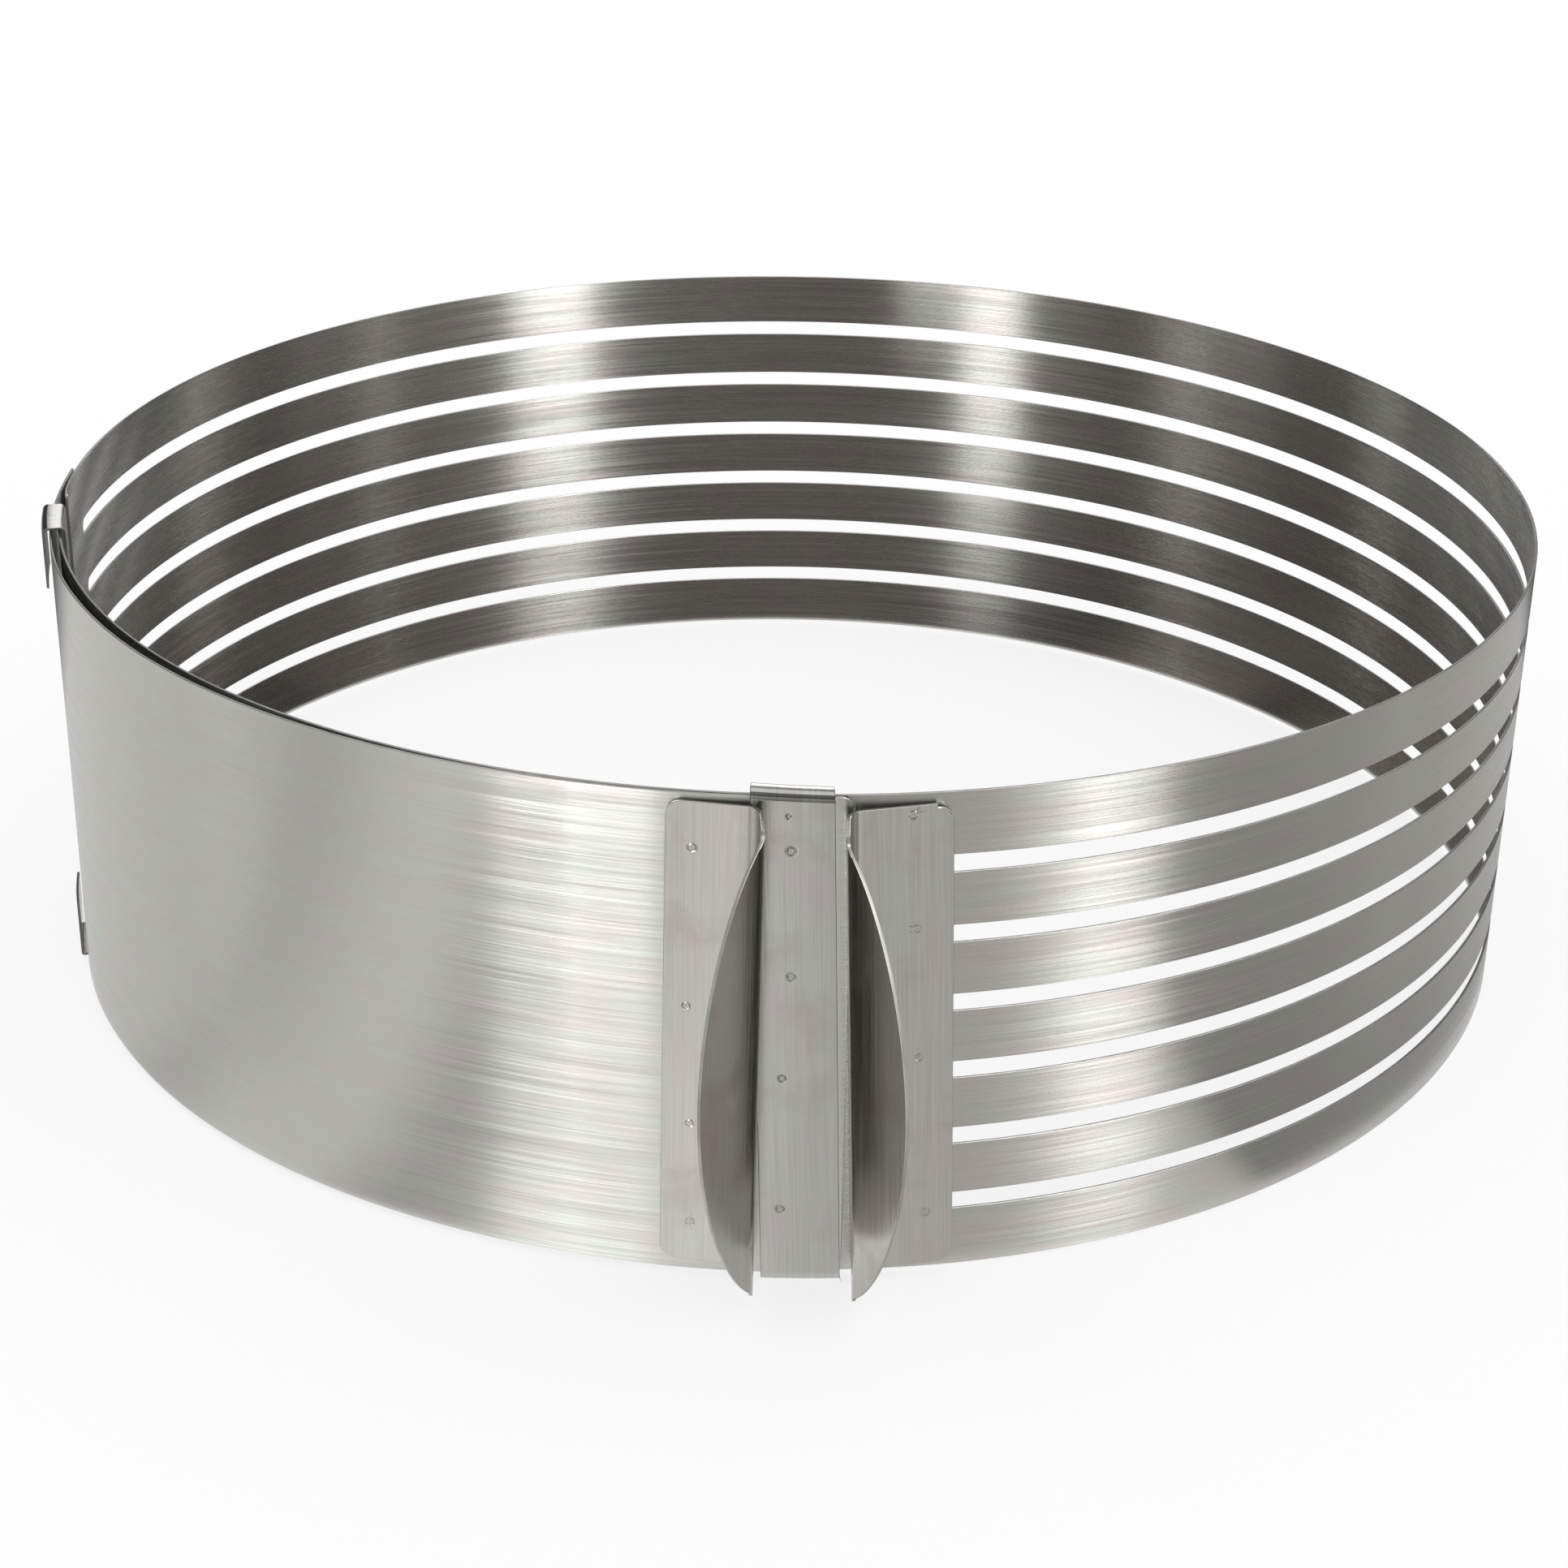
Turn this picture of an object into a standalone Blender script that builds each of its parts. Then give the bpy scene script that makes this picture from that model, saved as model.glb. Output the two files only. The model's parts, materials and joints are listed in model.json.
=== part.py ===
"""Adjustable cake slicing ring: thin steel strip bent round into a ring that overlaps itself.

A plain outer strip covers the front left, and a slotted inner strip goes on round the right side
and the back. Each carries a folded finger handle at the clasp. The inner strip slides round the
ring's upright axis under the plain one, held by two guides folded over the strips' edges.

Metres, +Z up. A turn is the angle round the ring from the front centre, growing to the right, and
an arc is the same way measured along the ring's outer face. The origin is at the centre of the
whole object's base.
"""

import math

import bmesh
import bpy
from mathutils import Vector

# Strips
RING_RADIUS = 0.120  # outer face of the plain strip at the clasp
BAND_HEIGHT = 0.074
BAND_SHEET = 0.0004
SHEET_GAP = 0.0003  # clearance between sheets that lie on each other
BAND_CORNER = 0.0015  # rounding of the strips' free corners
OUTER_END_ARC = 0.0079  # free end of the plain strip, right of the front centre
OUTER_BACK_TURN = math.radians(-90)  # where the plain strip meets the slotted one
TONGUE_TURN = math.radians(-82)  # hidden end of the inner strip
TAB_LAP_TURN = math.radians(5)  # how far the inner strip reaches under the plain one's back end

# The plain strip stands off the inner one on the left
FLARE = 0.0011
FLARE_START_TURN = math.radians(-15)
FLARE_FULL_TURN = math.radians(-55)
FLARE_EASE_TURN = math.radians(25)  # the last stretch, where it comes back in

# Knife slots
SLOT_COUNT = 6
SLOT_HEIGHT = 0.0026
SLOT_COVER = 0.0020  # how far the slots start behind the right handle's outer edge

# Guides
GUIDE_SHEET = 0.0004
GUIDE_WIDTH = 0.0110
GUIDE_INSET = 0.0013  # the plain strip's free end to the front guide's edge
GUIDE_SKEW = math.radians(1.7)  # the front guide leans to the left as it rises
GUIDE_CROWN = 0.0003  # room above the strips, beside the sheet gap
GUIDE_ROLL = 0.0009  # outer radius of the top bends
GUIDE_FOLD = 0.0005  # outer radius of the bottom bends
GUIDE_LIP = 0.0040  # how far the front guide reaches down and up behind the strips
GUIDE_BEAD = 0.0003  # the front guide's roll stands out from its own strip by this
BEAD_DROP = 0.0004  # the bead's lower edge, below the strips' top edge
END_GUIDE_INSET = 0.0029  # the inner strip's hidden end to the other guide's edge
END_GUIDE_FLANGE = 0.0100  # height of that guide's outer flanges

# Handles
HANDLE_SHEET = 0.0005
LEFT_WIDTH = 0.0128  # plate's outer edge to the web's outer face
RIGHT_WIDTH = 0.0142
HANDLE_BEND = 0.0026  # outer radius of the bend between plate and web
HANDLE_HEIGHT = 0.0711
PLATE_CORNER = 0.0022
LEFT_WEB_LAP = 0.0002  # the left web's foot stands this far over the front guide's edge
RIGHT_WEB_GAP = 0.00035  # the plain strip's free end to the right web's foot
LEFT_RISE = 0.0021  # strips' bottom edge to the plate's bottom edge
RIGHT_RISE = 0.0012
LEFT_TILT = math.radians(0.75)  # to the right as it rises
RIGHT_TILT = math.radians(-1.95)
WEB_DEPTH = 0.0083  # plate to the leaf's fold
WEB_LEAN = math.radians(-12)  # from square, so away from the plate
WEB_CORNER = 0.0008
LEAF_WIDTH = 0.0123
LEFT_LEAF_LEAN = math.radians(29.5)  # from square, so back over the plate
RIGHT_LEAF_LEAN = math.radians(25.5)
LEAF_BEND = 0.0034
LEAF_FULLNESS_SHARE = 0.76

# Facets
RING_STEP = math.radians(3)
CORNER_STEPS = 3
BEND_STEPS = 4
GUIDE_COLUMNS = 4
LEAF_ROWS = 16
SHARP_ANGLE = math.radians(35)
MERGE_SHARE = 0.01  # of the thinnest sheet: points nearer than this become one

INNER_RADIUS = RING_RADIUS - BAND_SHEET - SHEET_GAP  # outer face of the inner strip
INNER_FACE_RADIUS = INNER_RADIUS - BAND_SHEET
GUIDE_LIP_RADIUS = INNER_FACE_RADIUS - SHEET_GAP - GUIDE_SHEET
BAND_BASE = GUIDE_SHEET + SHEET_GAP
BAND_TOP = BAND_BASE + BAND_HEIGHT
GUIDE_TOP = BAND_TOP + SHEET_GAP + GUIDE_CROWN + GUIDE_SHEET
GUIDE_ARC = OUTER_END_ARC - GUIDE_INSET - GUIDE_WIDTH / 2  # middle of the front guide
LEFT_WEB_ARC = GUIDE_ARC - GUIDE_WIDTH / 2 + LEFT_WEB_LAP
RIGHT_WEB_ARC = OUTER_END_ARC + RIGHT_WEB_GAP
FULL_TURN = math.radians(360)
MERGE = MERGE_SHARE * min(BAND_SHEET, GUIDE_SHEET, HANDLE_SHEET)


def turn_of(arc):
    """The turn of a place measured along the ring's outer face."""
    return arc / RING_RADIUS


def on_ring(radius, turn, height):
    return Vector((radius * math.sin(turn), -radius * math.cos(turn), height))


def smooth(share):
    """0 to 1 with no kink at either end."""
    share = min(max(share, 0.0), 1.0)
    return share * share * (3 - 2 * share)


def rounding(distance, radius):
    """How far a rounded corner draws an edge in, this far along from the corner."""
    if distance >= radius:
        return 0.0
    return radius - math.sqrt(max(radius**2 - (radius - distance) ** 2, 0.0))


def corner_distances(radius):
    """Places along a rounded corner, from its tip, that follow its arc evenly."""
    steps = [math.radians(90) * k / CORNER_STEPS for k in range(CORNER_STEPS + 1)]
    return [radius * (1 - math.cos(angle)) for angle in steps]


def between(start, end, step):
    """Evenly spread values from start to end, no further apart than step."""
    count = max(math.ceil((end - start) / step), 1)
    return [start + (end - start) * k / count for k in range(count + 1)]


def filleted(corners, radii):
    """The open outline through these plane corners, with each inner corner an arc."""
    points = [Vector(corners[0])]
    for before, corner, after, radius in zip(corners, corners[1:], corners[2:], radii):
        corner = Vector(corner)
        into = (corner - Vector(before)).normalized()
        out = (Vector(after) - corner).normalized()
        bend = into.angle_signed(out)
        reach = radius * math.tan(abs(bend) / 2)
        side = 1 if bend > 0 else -1
        centre = corner - into * reach + Vector((into.y, -into.x)) * radius * side
        spoke = corner - into * reach - centre
        for k in range(BEND_STEPS + 1):
            angle = bend * k / BEND_STEPS
            turned = Vector(
                (
                    spoke.x * math.cos(angle) + spoke.y * math.sin(angle),
                    spoke.y * math.cos(angle) - spoke.x * math.sin(angle),
                )
            )
            points.append(centre + turned)
    points.append(Vector(corners[-1]))
    return points


def lengths_along(points):
    """The distance along an outline to each of its points."""
    lengths = [0.0]
    for before, after in zip(points, points[1:]):
        lengths.append(lengths[-1] + (after - before).length)
    return lengths


def point_along(points, lengths, distance):
    for k in range(1, len(points)):
        if distance <= lengths[k] or k == len(points) - 1:
            share = (distance - lengths[k - 1]) / (lengths[k] - lengths[k - 1])
            return points[k - 1].lerp(points[k], share)
    return points[-1]


def steel(name, colour, roughness):
    material = bpy.data.materials.new(name)
    material.use_nodes = True
    shader = material.node_tree.nodes["Principled BSDF"]
    shader.inputs["Base Color"].default_value = (*colour, 1.0)
    shader.inputs["Metallic"].default_value = 1.0
    shader.inputs["Roughness"].default_value = roughness
    return material


def sheet_piece(name, columns, thickness, material, parent, open_rows=(), flip=False):
    """A sheet whose outer face runs through columns of points, all with as many rows.

    The rows named in open_rows have no face above them, which leaves slots.
    """
    bm = bmesh.new()
    grid = [[bm.verts.new(point) for point in column] for column in columns]
    for left, right in zip(grid, grid[1:]):
        for row in range(len(left) - 1):
            if row in open_rows:
                continue
            corners = [left[row], right[row], right[row + 1], left[row + 1]]
            bm.faces.new(corners[::-1] if flip else corners)
    bmesh.ops.remove_doubles(bm, verts=bm.verts, dist=MERGE)
    mesh = bpy.data.meshes.new(name)
    bm.to_mesh(mesh)
    bm.free()
    mesh.shade_smooth()
    mesh.materials.append(material)
    piece = bpy.data.objects.new(name, mesh)
    bpy.context.scene.collection.objects.link(piece)
    piece.parent = parent
    solid = piece.modifiers.new("Sheet", "SOLIDIFY")
    solid.thickness = thickness
    solid.offset = -1
    solid.use_even_offset = True
    mesh.set_sharp_from_angle(angle=SHARP_ANGLE)
    return piece


def outer_radius(turn):
    """The plain strip's outer face, which stands off the inner strip on the left."""
    rise = smooth((turn - FLARE_START_TURN) / (FLARE_FULL_TURN - FLARE_START_TURN))
    fall = smooth((turn - OUTER_BACK_TURN) / FLARE_EASE_TURN)
    return RING_RADIUS + FLARE * rise * fall


def make_outer_band(parent):
    end = turn_of(OUTER_END_ARC)
    corner = turn_of(BAND_CORNER)
    turns = between(OUTER_BACK_TURN, end - corner, RING_STEP)
    tips = [end - turn_of(distance) for distance in corner_distances(BAND_CORNER)]
    turns += tips[-2::-1]
    columns = []
    for turn in turns:
        inset = rounding((end - turn) * RING_RADIUS, BAND_CORNER)
        radius = outer_radius(turn)
        heights = (BAND_BASE + inset, BAND_TOP - inset)
        columns.append([on_ring(radius, turn, height) for height in heights])
    material = steel("outer_band_steel", (0.56, 0.56, 0.54), 0.30)
    return sheet_piece("outer_band", columns, BAND_SHEET, material, parent)


def slot_half(turn, start, end):
    """Half the height of a knife slot at this turn: its ends are round."""
    inside = min(turn - start, end - turn) * INNER_RADIUS
    if inside <= 0:
        return 0.0
    return SLOT_HEIGHT / 2 - rounding(inside, SLOT_HEIGHT / 2)


def make_inner_band(parent):
    start = TONGUE_TURN
    end = FULL_TURN + OUTER_BACK_TURN + TAB_LAP_TURN
    slot_start = turn_of(RIGHT_WEB_ARC + RIGHT_WIDTH - SLOT_COVER)
    slot_end = FULL_TURN + OUTER_BACK_TURN
    corner_turns = [distance / INNER_RADIUS for distance in corner_distances(BAND_CORNER)]
    tip_turns = [distance / INNER_RADIUS for distance in corner_distances(SLOT_HEIGHT / 2)]
    turns = [start + turn for turn in corner_turns[:-1]]
    turns += between(start + corner_turns[-1], slot_start, RING_STEP)[:-1]
    turns += [slot_start + turn for turn in tip_turns[:-1]]
    turns += between(slot_start + tip_turns[-1], slot_end - tip_turns[-1], RING_STEP)
    turns += [slot_end - turn for turn in tip_turns[-2::-1]]
    turns += between(slot_end, end - corner_turns[-1], RING_STEP)[1:]
    turns += [end - turn for turn in corner_turns[-2::-1]]
    pitch = BAND_HEIGHT / (SLOT_COUNT + 1)
    columns = []
    for turn in turns:
        inset = rounding(min(turn - start, end - turn) * INNER_RADIUS, BAND_CORNER)
        half = slot_half(turn, slot_start, slot_end)
        heights = [BAND_BASE + inset]
        for k in range(1, SLOT_COUNT + 1):
            middle = BAND_BASE + pitch * k
            heights += [middle - half, middle + half]
        heights.append(BAND_TOP - inset)
        columns.append([on_ring(INNER_RADIUS, turn, height) for height in heights])
    slots = range(1, 2 * SLOT_COUNT, 2)
    material = steel("inner_band_steel", (0.52, 0.51, 0.49), 0.28)
    return sheet_piece("inner_band", columns, BAND_SHEET, material, parent, slots)


def make_guide(name, profile, middle, skew, material, parent):
    """A strip folded over the ring's edges: profile holds its radii and heights."""
    half = turn_of(GUIDE_WIDTH) / 2
    columns = []
    for k in range(GUIDE_COLUMNS + 1):
        turn = middle - half + 2 * half * k / GUIDE_COLUMNS
        column = []
        for radius, height in profile:
            lean = turn_of((GUIDE_TOP / 2 - height) * math.tan(skew))
            column.append(on_ring(radius, turn + lean, height))
        columns.append(column)
    return sheet_piece(name, columns, GUIDE_SHEET, material, parent)


def make_front_guide(parent):
    face = RING_RADIUS + SHEET_GAP + GUIDE_SHEET
    bead = face + GUIDE_BEAD
    bead_base = BAND_TOP - BEAD_DROP
    corners = [
        (GUIDE_LIP_RADIUS, GUIDE_LIP),
        (GUIDE_LIP_RADIUS, 0.0),
        (face, 0.0),
        (face, bead_base - GUIDE_BEAD),
        (bead, bead_base),
        (bead, GUIDE_TOP),
        (GUIDE_LIP_RADIUS, GUIDE_TOP),
        (GUIDE_LIP_RADIUS, GUIDE_TOP - GUIDE_LIP),
    ]
    bends = [GUIDE_FOLD, GUIDE_FOLD, GUIDE_BEAD, GUIDE_BEAD, GUIDE_ROLL, GUIDE_ROLL]
    material = steel("front_guide_steel", (0.47, 0.45, 0.43), 0.34)
    profile = filleted(corners, bends)
    middle = turn_of(GUIDE_ARC)
    return make_guide("front_guide", profile, middle, GUIDE_SKEW, material, parent)


def make_end_guide(parent):
    flange = RING_RADIUS + FLARE + SHEET_GAP + GUIDE_SHEET
    corners = [
        (flange, GUIDE_TOP - END_GUIDE_FLANGE),
        (flange, GUIDE_TOP),
        (GUIDE_LIP_RADIUS, GUIDE_TOP),
        (GUIDE_LIP_RADIUS, 0.0),
        (flange, 0.0),
        (flange, END_GUIDE_FLANGE),
    ]
    bends = [GUIDE_ROLL, GUIDE_ROLL, GUIDE_FOLD, GUIDE_FOLD]
    material = steel("end_guide_steel", (0.47, 0.46, 0.44), 0.32)
    profile = filleted(corners, bends)
    middle = TONGUE_TURN + turn_of(END_GUIDE_INSET + GUIDE_WIDTH / 2)
    return make_guide("end_guide", profile, middle, 0.0, material, parent)


def leaf_reach(height, half):
    """How far a handle's sheet goes past the leaf's fold, this far above its middle."""
    inner = half - WEB_CORNER
    if abs(height) >= inner:
        return -rounding(half - abs(height), WEB_CORNER)
    return LEAF_WIDTH * (1 - (height / inner) ** 2) ** LEAF_FULLNESS_SHARE


def handle_rows(half):
    """The heights of a handle's rows above its middle, closer together at both ends."""
    ends = corner_distances(max(PLATE_CORNER, WEB_CORNER))
    inner = half - ends[-1]
    rows = [-half + distance for distance in ends[:-1]]
    for k in range(LEAF_ROWS + 1):
        rows.append(-inner * math.cos(math.pi * k / LEAF_ROWS))
    rows += [half - distance for distance in ends[-2::-1]]
    return rows


def make_handle(name, side, web_arc, width, rise, band_radius, tilt, leaf_lean, material, parent):
    """A folded handle: flat plate, upright web and a leaf leaning back over the plate.

    Side is 1 where the web is at the plate's right edge and -1 where it is at the left.
    """
    half = HANDLE_HEIGHT / 2
    web = Vector((width, 0.0))
    heading = math.radians(90) + WEB_LEAN
    fold = web + Vector((math.cos(heading), math.sin(heading))) * WEB_DEPTH
    heading += leaf_lean - WEB_LEAN
    tip = fold + Vector((math.cos(heading), math.sin(heading))) * LEAF_WIDTH
    outline = filleted([(0.0, 0.0), web, fold, tip], [HANDLE_BEND, LEAF_BEND])
    lengths = lengths_along(outline)
    fold_length = (lengths[BEND_STEPS + 2] + lengths[2 * BEND_STEPS + 2]) / 2
    stops = [0.0, PLATE_CORNER, *lengths[1:-1]]
    rows = []
    for height in handle_rows(half):
        first = rounding(half - abs(height), PLATE_CORNER)
        last = fold_length + leaf_reach(height, half)
        row = [min(max(stop, first), last) for stop in stops] + [last]
        points = [point_along(outline, lengths, distance) for distance in row]
        rows.append([Vector((side * point.x, -point.y, height)) for point in points])
    columns = [list(column) for column in zip(*rows)]
    piece = sheet_piece(name, columns, HANDLE_SHEET, material, parent, flip=side > 0)
    edge_turn = turn_of(web_arc - side * width)
    middle = BAND_BASE + rise + half
    piece.location = on_ring(band_radius + SHEET_GAP, edge_turn, middle)
    piece.rotation_euler = (0.0, tilt, edge_turn)
    return piece


def make_left_handle(parent):
    material = steel("left_handle_steel", (0.48, 0.46, 0.44), 0.32)
    name = "left_handle"
    place = (LEFT_WEB_ARC, LEFT_WIDTH, LEFT_RISE, RING_RADIUS, LEFT_TILT, LEFT_LEAF_LEAN)
    return make_handle(name, 1, *place, material, parent)


def make_right_handle(parent):
    material = steel("right_handle_steel", (0.47, 0.45, 0.43), 0.32)
    name = "right_handle"
    place = (RIGHT_WEB_ARC, RIGHT_WIDTH, RIGHT_RISE, INNER_RADIUS, RIGHT_TILT, RIGHT_LEAF_LEAN)
    return make_handle(name, -1, *place, material, parent)


def empty(name, parent):
    place = bpy.data.objects.new(name, None)
    bpy.context.scene.collection.objects.link(place)
    place.parent = parent
    return place


def centre_over_base(root, pieces):
    """Moves the root so that the origin is at the middle of the pieces' base."""
    bpy.context.view_layer.update()
    graph = bpy.context.evaluated_depsgraph_get()
    corners = []
    for piece in pieces:
        evaluated = piece.evaluated_get(graph)
        mesh = evaluated.to_mesh()
        corners += [evaluated.matrix_world @ vertex.co for vertex in mesh.vertices]
        evaluated.to_mesh_clear()
    low = [min(corner[axis] for corner in corners) for axis in range(3)]
    high = [max(corner[axis] for corner in corners) for axis in range(3)]
    root.location = (-(low[0] + high[0]) / 2, -(low[1] + high[1]) / 2, -low[2])
    bpy.context.view_layer.update()


def main():
    for leftover in list(bpy.data.objects):
        bpy.data.objects.remove(leftover, do_unlink=True)
    ring_axis = empty("ring_axis", None)
    slide_axis = empty("slide_axis", ring_axis)
    pieces = [
        make_outer_band(ring_axis),
        make_left_handle(ring_axis),
        make_front_guide(ring_axis),
        make_inner_band(slide_axis),
        make_right_handle(slide_axis),
        make_end_guide(slide_axis),
    ]
    centre_over_base(ring_axis, pieces)


main()
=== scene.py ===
"""Adjustable cake slicing ring: the looks of its strips, guides and handles, and its studio.

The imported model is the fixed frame. Each sheet is made again here with fine facets, eased edges,
weld marks and brushed steel, on the same sizes. A turn is the angle round the ring from the front
centre, growing to the right. An arc is the same way measured along the plain strip's outer face.
"""

import json
import math

import bmesh
import bpy
from bpy.props import FloatProperty, FloatVectorProperty, IntProperty, PointerProperty
from mathutils import Euler, Matrix, Vector


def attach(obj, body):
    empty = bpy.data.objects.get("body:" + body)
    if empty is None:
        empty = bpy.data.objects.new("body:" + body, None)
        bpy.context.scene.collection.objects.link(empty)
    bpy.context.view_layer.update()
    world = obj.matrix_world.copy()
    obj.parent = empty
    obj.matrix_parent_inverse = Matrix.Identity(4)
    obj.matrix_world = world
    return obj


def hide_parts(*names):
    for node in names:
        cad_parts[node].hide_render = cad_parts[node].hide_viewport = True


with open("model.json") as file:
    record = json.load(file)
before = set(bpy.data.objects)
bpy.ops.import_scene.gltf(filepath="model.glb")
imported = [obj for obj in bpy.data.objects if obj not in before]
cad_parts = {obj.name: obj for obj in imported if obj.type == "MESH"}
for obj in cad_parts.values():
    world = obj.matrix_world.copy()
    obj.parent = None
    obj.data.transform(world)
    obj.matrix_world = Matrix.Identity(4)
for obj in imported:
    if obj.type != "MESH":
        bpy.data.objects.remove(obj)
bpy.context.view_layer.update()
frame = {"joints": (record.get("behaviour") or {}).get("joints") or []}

bl_info = {
    "name": "Cake Slicing Ring",
    "version": (1, 0, 0),
    "blender": (4, 5, 0),
    "location": "View3D > Sidebar > Cake Ring",
    "description": "Builds an adjustable cake slicing ring of brushed steel strip",
    "category": "Add Mesh",
}

AXIS = Vector((*frame["joints"][0]["pos_m"][:2], 0.0))
FULL_TURN = math.radians(360)
SQUARE = math.radians(90)
BRUSH_MAP = "brushing"  # metres along the brushing, metres across it
WELD_SHADE = "weld_marks"  # 0 to 1 on a sheet's points
PAINTED_SHADE = "painted_shade_tone"  # painted shade: how much darker webs, leaves and the guide's groove are, 0 to 1

FACET = math.radians(0.5)  # turn from one facet of a strip to the next
LEAST_STEP = 2e-5  # stops on a sheet that come nearer than this are one
MERGED_POINTS = 4e-6  # points of a sheet that lie nearer than this are one
EASED_FROM = math.radians(60)  # edges sharper than this are eased
SMOOTH_UP_TO = math.radians(32)  # edges flatter than this are shaded smooth

# Furthest stops from each other: up the plain strip, along and across a guide, across a plate
STRIP_STEP = 0.0125
GUIDE_STEP = 0.003
GUIDE_FACET = 0.0008
PLATE_STEP = 0.0012
HANDLE_BEND_STEPS = 12
LEAF_HEIGHTS = 72
LEAF_PARTS = 8

# Spot welds: the place across the sheet, the height on it and the size of the ring, a share of
# the usual one. On the guide they count from its middle line and from the ring's base, on the
# handles from the plate's outer edge and from half its height.
GUIDE_WELDS = [(-0.0006, 0.0722, 0.5), (-0.0003, 0.0672, 1.0), (-0.0006, 0.0484, 0.9)]
GUIDE_WELDS += [(-0.0021, 0.0327, 0.8), (-0.0027, 0.0117, 0.9)]
LEFT_WELDS = [(0.0036, 0.0289, 1.0), (0.0032, 0.0051, 0.9), (0.0039, -0.0133, 0.9), (0.0042, -0.0293, 1.0)]
RIGHT_WELDS = [(0.0055, 0.0348, 1.0), (0.0050, 0.0179, 0.9), (0.0047, -0.0020, 0.9), (0.0038, -0.0271, 1.0)]

# A weld mark's shape, as shares of its ring's radius but for the dot's level beside the ring's
RING_SOFTNESS = 0.30
DOT_LEVEL = 0.7
MARK_REACH = 3
WELD_STOPS_REACH = 2.2
WELD_STOPS = 9  # fine stops to each side of a weld mark


def length(name, description, default):
    return FloatProperty(
        name=name, description=description, default=default, unit="LENGTH", subtype="DISTANCE", precision=5
    )


def angle(name, description, degrees):
    return FloatProperty(
        name=name, description=description, default=math.radians(degrees), unit="ROTATION", subtype="ANGLE"
    )


def colour(name, description, default):
    return FloatVectorProperty(
        name=name, description=description, default=default, subtype="COLOR", size=3, min=0.0, max=1.0
    )


def share(name, description, default):
    return FloatProperty(
        name=name, description=description, default=default, min=0.0, max=1.0, subtype="FACTOR"
    )


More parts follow.
